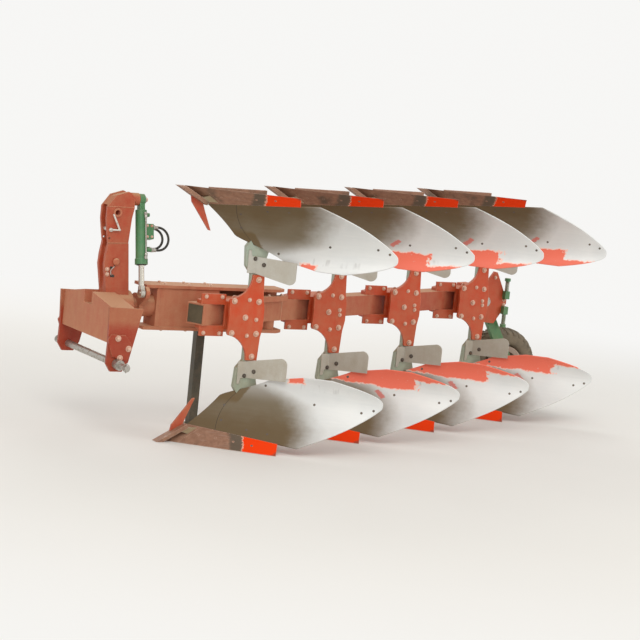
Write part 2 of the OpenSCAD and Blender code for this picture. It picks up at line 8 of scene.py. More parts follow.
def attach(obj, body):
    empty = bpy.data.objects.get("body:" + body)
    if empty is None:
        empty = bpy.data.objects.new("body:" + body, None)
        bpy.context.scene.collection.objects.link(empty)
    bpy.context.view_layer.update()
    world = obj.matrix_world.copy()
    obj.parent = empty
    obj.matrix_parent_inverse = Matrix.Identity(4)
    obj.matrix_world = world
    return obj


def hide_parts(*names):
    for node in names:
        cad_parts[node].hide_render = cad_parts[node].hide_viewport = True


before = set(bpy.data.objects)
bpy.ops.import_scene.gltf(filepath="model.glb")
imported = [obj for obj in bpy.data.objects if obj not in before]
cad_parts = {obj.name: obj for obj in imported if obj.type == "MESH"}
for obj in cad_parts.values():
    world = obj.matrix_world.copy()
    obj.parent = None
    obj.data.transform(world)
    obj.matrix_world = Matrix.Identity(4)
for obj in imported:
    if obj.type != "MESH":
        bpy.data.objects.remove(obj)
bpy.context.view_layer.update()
random.seed(11)
finishes = {}

# Places of the plough, in metres
site = {"midX": 1.195, "midY": 0.105038, "beamHeight": 0.84, "legPitch": 0.85, "furrow": 0.40,
        "firstLegY": -0.38, "beamY": -0.18, "beamAngle": math.atan(0.40 / 0.85)}
legs = range(4)
bodies = [(leg, upper) for upper in (False, True) for leg in legs]
near, away, both = (0, -1, 0), (0, 1, 0), (-1, 1)


def spot(x, y, z):
    # x back from the first leg, y right of the turning axis, z over the beam axis
    return Vector((x - site["midX"], y - site["midY"], z + site["beamHeight"]))


def legSpot(leg, x, y, z):
    return spot(x + leg * site["legPitch"], y + site["firstLegY"] + leg * site["furrow"], z)


def beamSpot(run, side, z):
    # run along the beam from where it crosses the first leg, side across it
    c, s = math.cos(site["beamAngle"]), math.sin(site["beamAngle"])
    return spot(run * c - side * s, site["beamY"] + run * s + side * c, z)


def added(name, data):
    thing = bpy.data.objects.new(name, data)
    bpy.context.scene.collection.objects.link(thing)
    return thing


# Camera at the photograph's angle
view = {"place": (-7.755, -13.235, 2.64), "lens": 122.9, "sensor": 36.0, "farClip": 200.0,
        "right": (0.87366, -0.47622, 0.09962), "up": (-0.02774, 0.15566, 0.98742),
        "ahead": (0.48574, 0.86544, -0.12278)}


def addCamera():
    data = bpy.data.cameras.new("camera")
    data.lens = view["lens"]
    data.sensor_width = view["sensor"]
    data.clip_end = view["farClip"]
    camera = added("camera", data)
    right, up, ahead = (Vector(view[k]).normalized() for k in ("right", "up", "ahead"))
    turn = Matrix((right, up, -ahead)).transposed()
    camera.matrix_world = Matrix.Translation(view["place"]) @ turn.to_4x4()
    bpy.context.scene.camera = camera


# Turning cylinder: its own frame hangs from the top pin
ram = {"pin": (-0.626, 0.0, 0.700), "lean": math.atan2(-0.140, 0.602)}
ramTurn = Matrix.Rotation(ram["lean"], 4, "X")


def ramSpot(x, y, z):
    c, s = math.cos(ram["lean"]), math.sin(ram["lean"])
    return spot(ram["pin"][0] + x, ram["pin"][1] + y * c - z * s, ram["pin"][2] + y * s + z * c)


def ramPlace(x, y, z):
    # Takes a piece from the origin to this place on the cylinder
    return Matrix.Translation(ramSpot(x, y, z)) @ ramTurn


def addCurve(name, route, radius, sides):
    # A round line through the route's points
    data = bpy.data.curves.new(name, "CURVE")
    data.dimensions = "3D"
    line = data.splines.new("POLY")
    line.points.add(len(route) - 1)
    for point, place in zip(line.points, route):
        point.co = (*place, 1)
    line.use_smooth = True
    data.bevel_depth = radius
    data.bevel_resolution = sides
    return added(name, data)


hoses = {"diameter": 0.016, "blockFace": 0.0763, "portFace": 0.0623, "bendStart": 0.076, "bendSteps": 16,
         "loops": ({"name": "nearHose", "side": -0.016, "top": -0.182, "low": -0.334, "run": 0.038},
                   {"name": "farHose", "side": 0.016, "top": -0.188, "low": -0.322, "run": 0.018})}


def hoseRoute(loop):
    # Straight out of the valve block, round in a half circle and back into the port under it
    radius = (loop["top"] - loop["low"]) / 2
    points = [(hoses["blockFace"], loop["top"])]
    for k in range(hoses["bendSteps"] + 1):
        a = math.pi * k / hoses["bendSteps"]
        points.append((hoses["bendStart"] + loop["run"] + radius * math.sin(a),
                       loop["top"] - radius * (1 - math.cos(a))))
    points.append((hoses["portFace"], loop["low"]))
    return [ramSpot(x, loop["side"], z) for x, z in points]


def addHoses():
    for loop in hoses["loops"]:
        route = hoseRoute(loop)
        hose = addCurve(loop["name"], route, hoses["diameter"] / 2, 6)
        hose.data.materials.append(finishes["hoseRubber"])
        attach(hose, "cylinder")
        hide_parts("cylinder_hoses")
        ends = [addFerrule(loop, "Top", hoses["blockFace"], loop["top"]),
                addFerrule(loop, "Low", hoses["portFace"], loop["low"])]


ferrule = {"reach": 0.034, "collar": 0.0155, "sleeve": 0.0115, "sunk": 0.0003}


def addFerrule(loop, end, face, height):
    # Hexagon against the face, then the crimped sleeve
    reach = min(ferrule["reach"], loop["run"] * 0.9)
    collar = addBar("collar", 6, ferrule["collar"], reach * 0.45)
    sleeve = addBar("sleeve", 20, ferrule["sleeve"], reach * 0.62)
    piece = joined([collar, moved(sleeve, Matrix.Translation((0, 0, reach * 0.38)))], loop["name"] + end)
    moved(piece, ramPlace(face - ferrule["sunk"], loop["side"], height) @ Matrix.Rotation(math.pi / 2, 4, "Y"))
    return finished(piece, "bareSteel", "cylinder")


def deselect():
    bpy.ops.object.select_all(action="DESELECT")


def lone(piece):
    # Only this piece selected, and active
    deselect()
    piece.select_set(True)
    bpy.context.view_layer.objects.active = piece


def settled(piece):
    lone(piece)
    bpy.ops.object.transform_apply()
    return piece


def moved(piece, turn):
    piece.data.transform(turn)
    return piece


def rounded(piece, width, segments=1, angle=35):
    lone(piece)
    bevel = piece.modifiers.new("edges", "BEVEL")
    bevel.width = width
    bevel.segments = segments
    bevel.limit_method = "ANGLE"
    bevel.angle_limit = math.radians(angle)
    bpy.ops.object.modifier_apply(modifier="edges")
    return piece


def walled(piece, thickness, offset=-1, backSlot=0):
    # Gives a sheet its thickness; its back takes the material this many slots on
    lone(piece)
    wall = piece.modifiers.new("wall", "SOLIDIFY")
    wall.thickness = thickness
    wall.offset = offset
    wall.material_offset = backSlot
    bpy.ops.object.modifier_apply(modifier="wall")


def addBar(name, sides, radius, length, bevel=0.0, topRadius=None):
    # A round or hexagonal bar standing on the origin
    deselect()
    bpy.ops.mesh.primitive_cylinder_add(vertices=sides, radius=radius, depth=length, location=(0, 0, length / 2))
    piece = settled(bpy.context.object)
    piece.name = name
    if topRadius is not None:
        for v in piece.data.vertices:
            if v.co.z > length * 0.99:
                v.co.x *= topRadius / radius
                v.co.y *= topRadius / radius
    return rounded(piece, bevel) if bevel else piece


def addBlock(name, half, bevel=0.0, middle=(0, 0, 0)):
    deselect()
    bpy.ops.mesh.primitive_cube_add(size=2, location=middle)
    piece = bpy.context.object
    piece.name = name
    piece.scale = half
    settled(piece)
    return rounded(piece, bevel) if bevel else piece


def joined(pieces, name):
    lone(pieces[0])
    for piece in pieces[1:]:
        piece.select_set(True)
    if len(pieces) > 1:
        bpy.ops.object.join()
    piece = bpy.context.view_layer.objects.active
    piece.name = name
    piece.data.name = name
    return piece


def copied(master, turns, name):
    # One copy of the master, with its own mesh, at each place
    copies = []
    for turn in turns:
        copies.append(moved(added("copy", master.data.copy()), turn))
        if turn.determinant() < 0:
            copies[-1].data.flip_normals()
    bpy.data.objects.remove(master)
    return joined(copies, name)


def finished(piece, finish, body, angle=40):
    # A mouldboard has its two finishes already
    if finish:
        piece.data.materials.append(finishes[finish])
    lone(piece)
    bpy.ops.object.shade_smooth_by_angle(angle=math.radians(angle))
    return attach(piece, body)


def aimed(place, normal, roll=0.0):
    turn = Vector(normal).normalized().to_track_quat("Z", "X").to_matrix().to_4x4()
    return Matrix.Translation(place) @ turn @ Matrix.Rotation(roll, 4, "Z")


# Mouldboards: one bent sheet, kept as width out from the furrow wall and height over the share tips.
# shin: start, lean and hollow. turn: angle, its gain at the foot, the neck, its gain at the top and over
# what height. corner: start, end, span and cut. tail: height, softness and cut.
board = {"top": 0.486, "width": 0.645, "thick": 0.009, "wall": 0.024, "foot": 0.062, "joint": 0.0004,
         "cells": (44, 36), "edge": 0.0016, "shin": (-0.490, 1.62, 1.18), "bow": 0.126, "inner": 0.006,
         "turn": (38, 6, 0.22, 7.2, 0.256), "corner": (0.300, 0.385, 0.085, 0.069), "tail": (0.360, 0.015, 0.185)}


def boardPlace(w, z):
    start, lean, hollow = board["shin"]
    angle, foot, neck, top, span = board["turn"]
    angle += foot * ((neck - z) / neck) ** 2 if z < neck else top * ((z - neck) / span) ** 3
    shin = start + lean * z - hollow * z * z
    return Vector((shin + w / math.tan(math.radians(angle)) + board["bow"] * w * w, board["wall"] - w, z))


def boardNormal(w, z):
    step = 0.001
    across = boardPlace(w + step, z) - boardPlace(w - step, z)
    return across.cross(boardPlace(w, z + step) - boardPlace(w, z - step)).normalized()


def boardEdges(z):
    # Inner and outer width at this height
    inner, outer = board["inner"], board["width"]
    start, end, span, cut = board["corner"]
    if z >= end:
        inner = z - 0.310
    elif z >= start:
        inner += cut * ((z - start) / span) ** 1.3
    tail, soft, cut = board["tail"]
    rise = z - tail
    if rise < -soft:
        outer += (rise + soft) * 0.4
    elif rise >= soft:
        outer -= cut * ((rise - soft) / (board["top"] - tail - soft)) ** 2
    return inner, outer


def shareTop(w):
    # Height of the joint between the share and the board
    return 0.112 - 0.11 * w


def bodyTurn(leg, upper):
    # From one body's own frame, floor at its share tips, to its place on the beam
    turn = Matrix.Translation(legSpot(leg, 0, 0, 0))
    if upper:
        turn = turn @ Matrix.Scale(-1, 4, (0, 0, 1))
    return turn @ Matrix.Translation((0, 0, -site["beamHeight"]))


def onBoard(w, z, sunk):
    # Stands a piece on the board's face, sunk this deep
    normal = boardNormal(w, z)
    return aimed(boardPlace(w, z) - normal * sunk, normal)


def addGrid(across, up):
    deselect()
    bpy.ops.mesh.primitive_grid_add(x_subdivisions=across, y_subdivisions=up, size=1)
    return bpy.context.object


def addBoards():
    master = addGrid(*board["cells"])
    layer = master.data.uv_layers.active
    flat = {}
    for v in master.data.vertices:
        i, j = v.co.x + 0.5, v.co.y + 0.5
        height = board["foot"] + (board["top"] - board["foot"]) * j
        inner, outer = boardEdges(height)
        w = inner + (outer - inner) * i
        # The foot follows the share, and the top edge falls towards the shin
        z = height + (1 - j) * (shareTop(w) + board["joint"] - board["foot"]) - 0.25 * max(0, 0.34 - w) * j ** 3
        flat[v.index] = (w, z)
        v.co = boardPlace(w, z)
    for loop in master.data.loops:
        layer.data[loop.index].uv = flat[loop.vertex_index]
    for finish in ("boardSteel", "boardBack"):
        master.data.materials.append(finishes[finish])
    walled(master, board["thick"], backSlot=1)
    rounded(master, board["edge"], 2, 50)
    spare = added("spare", master.data.copy())
    for sheet, upper, side in ((master, False, "lower"), (spare, True, "upper")):
        piece = copied(sheet, [bodyTurn(leg, upper) for leg in legs], side + "Mouldboards")
        finished(piece, None, "plough", 50)
        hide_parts(side + "_boards")


# The share's inner corner, run on under the point to the furrow wall
shareNose = {"out": 0.080, "thick": 0.010, "cells": (10, 10), "floor": 0.0002}


def addShareNoses():
    master = addGrid(*shareNose["cells"])
    for v in master.data.vertices:
        w = shareNose["out"] * (v.co.x + 0.5)
        v.co = boardPlace(w, shareTop(w) * (v.co.y + 0.5))
    walled(master, shareNose["thick"])
    for v in master.data.vertices:
        v.co.z = max(v.co.z, shareNose["floor"])
    finished(copied(master, [bodyTurn(*body) for body in bodies], "shareNoses"), "pointSteel", "plough", 50)


# Plough bolts: flat heads let into the face, so only a thin disc stands proud
faceBolts = {"radius": 0.0085, "thick": 0.003, "proud": 0.0008,
             "board": ((0.578, 0.300), (0.617, 0.322), (0.388, 0.317), (0.112, 0.158), (0.060, 0.250),
                       (0.250, 0.120), (0.345, 0.110), (0.160, 0.400)),
             "share": ((0.110, 0.058), (0.190, 0.052), (0.275, 0.046), (0.365, 0.038))}


def addFaceBolts():
    sunk = faceBolts["thick"] - faceBolts["proud"]
    for upper, side in ((False, "lower"), (True, "upper")):
        for kind, finish in (("board", "darkBolt"), ("share", "pointSteel")):
            disc = addBar("disc", 16, faceBolts["radius"], faceBolts["thick"], 0.0005)
            turns = [bodyTurn(leg, upper) @ onBoard(w, z, sunk) for leg in legs for w, z in faceBolts[kind]]
            finished(copied(disc, turns, side + kind.capitalize() + "Bolts"), finish, "plough")


# Hexagon bolts with washers, in three sizes: washer radius, head radius and head height
boltSizes = {"big": (0.0205, 0.0150, 0.0125), "small": (0.0145, 0.0105, 0.0085), "tiny": (0.0095, 0.0068, 0.006)}
washerThick = 0.003


def addBolt(size):
    washer, head, height = boltSizes[size]
    plate = addBar("washer", 18, washer, washerThick, 0.0007)
    hexagon = addBar("head", 6, head, height, height * 0.16)
    crown = addBar("crown", 12, head * 0.62, height * 0.22, 0, head * 0.40)
    moved(hexagon, Matrix.Translation((0, 0, washerThick)))
    moved(crown, Matrix.Translation((0, 0, washerThick + height)))
    return joined([plate, hexagon, crown], size + "Bolt")


def addBolts(name, size, places, body="plough", finish="zincBolt"):
    # places: where each washer rests, and which way its head points
    turns = [aimed(place - Vector(normal) * 0.0006, normal, random.uniform(0, 1.05)) for place, normal in places]
    return finished(copied(addBolt(size), turns, name), finish, body)


# Faces are y of the leg's own planes; clamps hold the shank, the first leg's with one bolt
legBolts = {"nearFace": -0.060, "farFace": 0.015, "hubFace": 0.033, "lipFace": 0.029, "lipHeight": 0.121,
            "big": ((0, 0), (-0.090, 0.107), (0.090, 0.107), (-0.090, -0.107), (0.090, -0.107), (0.073, 0.253),
                    (0.073, -0.260)),
            "bigBehind": ((-0.052, 0.116), (0.088, 0.116), (-0.052, -0.116), (0.088, -0.116), (0.073, 0.253),
                          (0.073, -0.260)),
            "small": ((0.020, 0.118), (0.023, -0.121)), "clamp": ((0.082, -0.013),),
            "clamps": ((0.086, 0.016), (0.090, -0.017)), "lip": (-0.260, -0.143)}


def addLegBolts():
    nearFace, farFace = legBolts["nearFace"], legBolts["farFace"]
    big = [(legSpot(leg, x, nearFace, z), near) for leg in legs for x, z in legBolts["big"]]
    big += [(legSpot(leg, x, farFace, z), away) for leg in legs for x, z in legBolts["bigBehind"]]
    big += [(legSpot(leg, 0, legBolts["hubFace"], 0), away) for leg in legs]
    addBolts("legBolts", "big", big)
    small = [(legSpot(leg, x, nearFace, z), near) for leg in legs for x, z in legBolts["small"]]
    small += [(legSpot(leg, x, nearFace, z), near) for leg in legs for x, z in legBolts["clamps" if leg else "clamp"]]
    small += [(legSpot(leg, x, face, s * legBolts["lipHeight"]), normal) for leg in legs for x in legBolts["lip"]
              for s in both for face, normal in ((farFace, near), (legBolts["lipFace"], away))]
    addBolts("legSmallBolts", "small", small)


# Each row: places along, then the place across and the height
frameBolts = {"flange": ((-0.419, -0.239, -0.080), 0.046, 0.150), "beam": (-0.09, -0.03, 0.094),
              "widthBar": ((0.200, 0.240, 0.320, 0.460), -0.089, 0.106), "coverFace": 0.434,
              "cover": ((-0.893, -0.163), (-0.815, -0.228), (-0.870, -0.290)),
              "trash": ((0.038, -0.048, 0.391, near), (0.0857, -0.0878, 0.356, (-0.731, -0.682, 0)))}


def addFrameBolts():
    along, across, top = frameBolts["flange"]
    small = [(spot(x, side * across, s * top), (0, 0, s)) for x in along for side in both for s in both]
    along, across, top = frameBolts["widthBar"]
    small += [(beamSpot(run, across, top), (0, 0, 1)) for run in along]
    pitch = site["legPitch"] / math.cos(site["beamAngle"])
    ahead, across, top = frameBolts["beam"]
    small += [(beamSpot(pitch * leg + ahead, across, s * top), (0, 0, s)) for leg in legs[1:] for s in both]
    addBolts("frameBolts", "small", small)
    cover = [(spot(x, s * frameBolts["coverFace"], z), (0, s, 0)) for x, z in frameBolts["cover"] for s in both]
    addBolts("coverBolts", "big", cover, "headstock")
    trash = [(legSpot(leg, x, y, s * z), turn) for leg in legs for s in both for x, y, z, turn in frameBolts["trash"]]
    addBolts("trashBoardBolts", "small", trash, finish="darkBolt")


# Depth wheel: casing with blocks on its crown and lugs down its shoulders.
# A tread shape is inner and outer distance from the middle plane, width, lean and the drop of its outer end.
wheel = {"hub": (3.045, 1.060, -0.530), "middle": 0.2325, "depth": 0.0645, "halfWidth": 0.097, "crown": 0.3095,
         "crownFall": 0.012, "fallWidth": 0.075, "treadDepth": 0.020, "ribs": (0.215, 0.262), "ribHeight": 0.0022,
         "ribWidth": 0.004,
         "tread": (("centreBlocks", 34, (0.004, 0.040, 0.034, 0.075, 0.0)),
                   ("shoulderLugs", 30, (0.047, 0.0925, 0.038, 0.045, 0.013)))}


def wheelTurn(out=0.0):
    return Matrix.Translation(spot(*wheel["hub"]) + Vector((0, out, 0))) @ Matrix.Rotation(-math.pi / 2, 4, "X")


def addTyreBlock(inner, outer, width, lean, drop):
    block = addBlock("block", (1, 1, 1))
    for v in block.data.vertices:
        along, top = (v.co.y + 1) / 2, v.co.z > 0
        across = inner + (outer - inner) * along
        fall = wheel["crownFall"] * (across / wheel["fallWidth"]) ** 2 + drop * along
        radius = wheel["crown"] - fall - (0 if top else wheel["treadDepth"])
        half = width / 2 * (0.86 if top else 1.0)
        angle = lean * along + v.co.x * half / wheel["crown"]
        v.co = (radius * math.cos(angle), radius * math.sin(angle), across)
    block.data.update()
    return rounded(block, 0.0022)


def addTyre():
    deselect()
    middle, depth = wheel["middle"], wheel["depth"]
    bpy.ops.mesh.primitive_torus_add(major_segments=120, minor_segments=32, major_radius=middle, minor_radius=depth)
    casing = bpy.context.object
    for v in casing.data.vertices:
        ring = math.hypot(v.co.x, v.co.y)
        c, s = (ring - middle) / depth, v.co.z / depth
        radius = middle + depth * math.copysign(abs(c) ** 0.62, c)
        # Two moulded ribs stand round the side wall
        rib = wheel["ribHeight"] * sum(math.exp(-((radius - at) / wheel["ribWidth"]) ** 2) for at in wheel["ribs"])
        v.co.x *= radius / ring
        v.co.y *= radius / ring
        v.co.z = math.copysign((wheel["halfWidth"] - 0.004) * abs(s) ** 0.72 + rib, s)
    parts = [casing]
    for side in (1, -1):
        flip = Matrix.Scale(side, 4, (0, 0, 1))
        for name, count, shape in wheel["tread"]:
            offset = (0.5 if side < 0 else 0.0) * math.tau / count
            turns = [Matrix.Rotation(offset + k * math.tau / count, 4, "Z") @ flip for k in range(count)]
            parts.append(copied(addTyreBlock(*shape), turns, name))
    piece = finished(moved(joined(parts, "fieldTyre"), wheelTurn()), "tyreRubber", "wheel", 45)
    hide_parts("tyre")


wheelBolts = {"nuts": 6, "nutCircle": 0.095, "disc": ((1.0405, near), (1.064, away)), "capOut": 0.065,
              "armFace": 0.880, "arm": ((-0.036, 0.026), (0.036, 0.026), (0.026, -0.036), (-0.026, -0.036)),
              "bracketFace": 0.854,
              "bracket": ((2.715, 0.120), (2.795, 0.190), (2.715, -0.120), (2.895, 0.018), (2.895, -0.018))}


def addWheelFittings():
    hubX, _, hubZ = wheel["hub"]
    nuts = []
    for k in range(wheelBolts["nuts"]):
        a = math.tau * (k + 0.3) / wheelBolts["nuts"]
        x, z = hubX + wheelBolts["nutCircle"] * math.cos(a), hubZ + wheelBolts["nutCircle"] * math.sin(a)
        nuts += [(spot(x, y, z), normal) for y, normal in wheelBolts["disc"]]
    addBolts("wheelNuts", "small", nuts, "wheel")
    cap = joined([addBar("cap", 28, 0.046, 0.014, 0.004), addBar("capRim", 28, 0.056, 0.005, 0.001)], "hubCap")
    finished(moved(cap, wheelTurn(wheelBolts["capOut"])), "darkMetalAndHoleShade", "wheel")
    # Cap over the axle's end, on the arm's near face
    boss = joined([addBar("boss", 28, 0.024, 0.008, 0.002), addBar("axleNut", 6, 0.017, 0.018, 0.003)], "axleNut")
    finished(moved(boss, aimed(spot(hubX, wheelBolts["armFace"], hubZ), near)), "bareSteel", "arm")
    addBolts("armBolts", "small", [(spot(hubX + x, wheelBolts["armFace"], hubZ + z), near)
                                   for x, z in wheelBolts["arm"]], "arm")
    addBolts("bracketBolts", "small", [(spot(x, wheelBolts["bracketFace"], z), near)
                                       for x, z in wheelBolts["bracket"]])


# Where each stay meets the back of its board
stayFoot = {"w": 0.430, "z": 0.285, "behind": 0.012}


def addStayFeet():
    foot = joined([addBar("pad", 24, 0.030, 0.006, 0.001), addBar("stayNut", 6, 0.014, 0.016, 0.002)], "stayFoot")
    turn = onBoard(stayFoot["w"], stayFoot["z"], board["thick"] + stayFoot["behind"])
    finished(copied(foot, [bodyTurn(*body) @ turn for body in bodies], "stayFeet"), "zincBolt", "plough")


def asMesh(curve):
    lone(curve)
    bpy.ops.object.convert(target="MESH")
    return bpy.context.object


def addPipe(name, route, radius, body):
    line = addCurve(name, route, radius, 4)
    line.data.use_fill_caps = True
    return finished(asMesh(line), "bareSteel", body, 60)


def bent(points, radius):
    # The route with each inner corner rounded
    steps = 5
    route = [points[0]]
    for a, b, c in zip(points, points[1:], points[2:]):
        cut = min(radius, (a - b).length * 0.45, (c - b).length * 0.45)
        start, end = b + (a - b).normalized() * cut, b + (c - b).normalized() * cut
        for k in range(steps + 1):
            t = k / steps
            route.append(start * (1 - t) ** 2 + b * 2 * t * (1 - t) + end * t * t)
    return route + [points[-1]]


# Hydraulic pipe down the near side of the cylinder, with its fittings
pipe = {"x": 0.014, "y": -0.045, "top": -0.098, "low": -0.388, "radius": 0.005, "wall": (0.008, -0.030),
        "bend": 0.012, "elbow": (0.010, 0.012, 0.011), "mouth": -0.4348, "valveFace": -0.034,
        "valveX": (0.030, 0.062), "valveZ": (-0.176, -0.248)}


def addCylinderFittings():
    x, y, top, low = (pipe[k] for k in ("x", "y", "top", "low"))
    route = [ramSpot(*place) for place in ((*pipe["wall"], top), (x, y, top), (x, y, low), (*pipe["wall"], low))]
    addPipe("ramPipe", bent(route, pipe["bend"]), pipe["radius"], "cylinder")
    parts = []
    for height, step in ((top, -0.030), (low, 0.011)):
        parts.append(moved(addBlock("elbow", pipe["elbow"], 0.002), ramPlace(x - 0.002, y + 0.004, height)))
        parts.append(moved(addBar("pipeNut", 6, 0.0105, 0.020, 0.001), ramPlace(x, y, height + step)))
    finished(joined(parts, "pipeFittings"), "bareSteel", "cylinder")
    # Wiper ring at the mouth of the barrel, and bolts on the valve block
    wiper = moved(addBar("wiper", 40, 0.034, 0.005, 0.001), ramPlace(0, 0, pipe["mouth"]))
    finished(wiper, "hoseRubber", "cylinder")
    addBolts("valveBolts", "tiny", [(ramSpot(x, pipe["valveFace"], z), ramTurn.to_3x3() @ Vector(near))
                                    for x in pipe["valveX"] for z in pipe["valveZ"]], "cylinder")


# Small pieces on the tower, and on the pins of the headstock
tower = {"face": 0.056, "lowFace": 0.062, "studs": ((-0.850, 0.237), (-0.847, 0.204)), "hole": (-0.823, 0.248),
         "slot": (-0.811, 0.193), "thin": 0.0008, "bore": (-0.808, 0.610), "knob": (-0.793, 0.289),
         "wire": ((-0.802, -0.062, 0.262), (-0.806, -0.072, 0.256), (-0.832, -0.074, 0.232),
                  (-0.826, -0.074, 0.200), (-0.812, -0.066, 0.204)), "wireBend": 0.016, "wireRadius": 0.0035,
         "linkPin": (-0.885, 0.578, -0.330), "ramPin": (-0.596, 0, 0.700), "crankPin": (-0.581, -0.140, 0.098)}


def addTowerPieces():
    holeShades, rings, clips = [], [], []
    thin, lowFace = tower["thin"], tower["lowFace"]
    # Dark discs and slots on the cheeks are painted shade standing for holes
    for s in both:
        x, z = tower["hole"]
        disc = addBar("hole", 20, 0.0095, 2 * thin, 0.0004)
        holeShades.append(moved(disc, aimed(spot(x, s * (lowFace - thin), z), (0, s, 0))))
        x, z = tower["slot"]
        slot = addBlock("slot", (0.015, thin, 0.008), 0.0004)
        holeShades.append(moved(slot, Matrix.Translation(spot(x, s * lowFace, z))))
    finished(joined(holeShades, "towerHoleShades"), "darkMetalAndHoleShade", "headstock")
    studs = [(spot(x, s * lowFace, z), (0, s, 0)) for s in both for x, z in tower["studs"]]
    addBolts("towerStuds", "small", studs, "headstock")
    # Domed lock button, with the bent wire that pulls it
    x, z = tower["knob"]
    knob = moved(addBar("lockKnob", 32, 0.024, 0.018, 0.008), aimed(spot(x, -lowFace, z), near))
    finished(rounded(knob, 0.003, 2), "frameRed", "headstock")
    wire = bent([spot(*place) for place in tower["wire"]], tower["wireBend"])
    addPipe("knobWire", wire, tower["wireRadius"], "headstock")
    for s in both:
        # Washers under the upper link bore
        x, z = tower["bore"]
        ring = addWasher("boreRing", 0.030, 0.0175, 0.007)
        rings.append(moved(ring, aimed(spot(x, s * tower["face"], z), (0, s, 0))))
        # Spring clips through the ends of the lower link pins
        x, y, z = tower["linkPin"]
        end = spot(x, s * y, z)
        peg = addBar("peg", 14, 0.0045, 0.062, 0.001)
        clips += [moved(addWasher("clip", 0.027, 0.0225, 0.004), aimed(end, (0, s, 0.25))),
                  moved(peg, Matrix.Translation(end + Vector((0, 0, -0.031))))]
    finished(joined(rings, "boreRings"), "frameRed", "headstock")
    finished(joined(clips, "linkClips"), "bareSteel", "headstock")
    for name, place, body in (("ramPinNut", "ramPin", "headstock"), ("crankPinNut", "crankPin", "plough")):
        addBolts(name, "big", [(spot(*tower[place]), (1, 0, 0))], body)


def addWasher(name, outer, inner, height):
    # A flat ring: inset the top of a disc, then take the middle away
    deselect()
    bpy.ops.mesh.primitive_circle_add(vertices=28, radius=outer, fill_type="NGON")
    piece = bpy.context.object
    piece.name = name
    bpy.ops.object.mode_set(mode="EDIT")
    bpy.ops.mesh.select_all(action="SELECT")
    bpy.ops.mesh.inset(thickness=outer - inner)
    bpy.ops.mesh.delete(type="FACE")
    bpy.ops.object.mode_set(mode="OBJECT")
    walled(piece, height, 1)
    return rounded(piece, min(0.001, height / 4))


# Weld beads: x and z of both ends, y, and radius; frame and leg beads lie level, with z on either side
welds = {"headstock": ((-0.845, 0.002, -0.684, 0.002, 0.062, 0.004), (-0.858, 0.409, -0.714, 0.413, 0.057, 0.003),
                       (-0.878, 0.648, -0.692, 0.648, 0.0565, 0.0025),
                       (-0.940, -0.001, -0.780, -0.001, 0.400, 0.004)),
         "leg": ((-0.292, -0.118, 0.018, 0.0945, 0.003), (-0.110, 0.112, 0.034, 0.069, 0.004)),
         "frame": (-0.574, -0.032, -0.087, 0.1295, 0.004)}


def addWeld(start, end, radius):
    # A bead with its ripples, laid along a corner
    count = max(2, int((end - start).length / (radius * 0.75)))
    bead = addCurve("bead", [start + (end - start) * k / count for k in range(count)] + [end], radius, 1)
    for k, point in enumerate(bead.data.splines[0].points):
        point.radius = 1.0 + (0.18 if k % 2 else -0.10) + random.uniform(-0.06, 0.06)
    return asMesh(bead)


def addWelds():
    beads = [addWeld(spot(x1, s * y, z1), spot(x2, s * y, z2), radius)
             for s in both for x1, z1, x2, z2, y, radius in welds["headstock"]]
    finished(joined(beads, "headstockWelds"), "frameRed", "headstock", 60)
    beads = [addWeld(legSpot(leg, x1, y, s * z), legSpot(leg, x2, y, s * z), radius)
             for leg in legs for s in both for x1, x2, y, z, radius in welds["leg"]]
    x1, x2, y, z, radius = welds["frame"]
    beads += [addWeld(spot(x1, y, s * z), spot(x2, y, s * z), radius) for s in both]
    finished(joined(beads, "ploughWelds"), "frameRed", "plough", 60)


# Light strip over a joint in the beam, and the threaded lengths of the depth spindles
seam = {"half": (0.002, 0.0013, 0.0690), "middle": (0.499, -0.0703, 0)}
spindle = {"x": 2.896, "y": 0.832, "start": 0.094, "pitch": 0.0033, "turns": 22, "crest": 0.0162, "root": 0.0146}


def addBeamSeam():
    strip = addBlock("beamSeam", seam["half"], 0.0006, seam["middle"])
    turn = Matrix.Translation(spot(0, site["beamY"], 0)) @ Matrix.Rotation(site["beamAngle"], 4, "Z")
    finished(moved(strip, turn), "paleLine", "plough")
    ring = addBar("thread", 18, spindle["crest"], 0.0030, 0.0, spindle["root"])
    turns = [aimed(spot(spindle["x"], spindle["y"], s * (spindle["start"] + spindle["pitch"] * k)), (0, 0, s))
             for s in both for k in range(spindle["turns"])]
    finished(copied(ring, turns, "spindleThreads"), "bareSteel", "plough")


# Each light: name, place, target, power, size and colour
studio = {"floorColour": (0.80, 0.785, 0.75), "backColour": (0.93, 0.925, 0.91), "skyColour": (0.98, 0.97, 0.95),
          "skyStrength": 0.69, "fade": (3.2, 8.0),
          "lights": (("keyLight", (-5.5, -8.0, 8.5), (0, 0, 0.8), 450.0, 7.0, (1.0, 0.97, 0.93)),
                     ("fillLight", (7.5, -6.5, 4.5), (0.3, 0, 0.8), 240.0, 5.0, (1.0, 0.99, 0.97)),
                     ("rimLight", (1.5, 8.5, 6.0), (0, 0, 0.8), 240.0, 5.0, (1.0, 1.0, 1.0)))}


def addLight(name, place, target, power, size, colour):
    data = bpy.data.lights.new(name, "AREA")
    data.energy, data.size, data.color = power, size, colour
    lamp = added(name, data)
    lamp.location = place
    lamp.rotation_mode = "QUATERNION"
    lamp.rotation_quaternion = (Vector(target) - Vector(place)).to_track_quat("-Z", "Y")


def blended(factor, a, b, output):
    blend = addNode("MixShader", {0: factor, 1: a.outputs[0], 2: b.outputs[0]})
    feed(building["tree"].nodes[output], {"Surface": blend.outputs[0]})


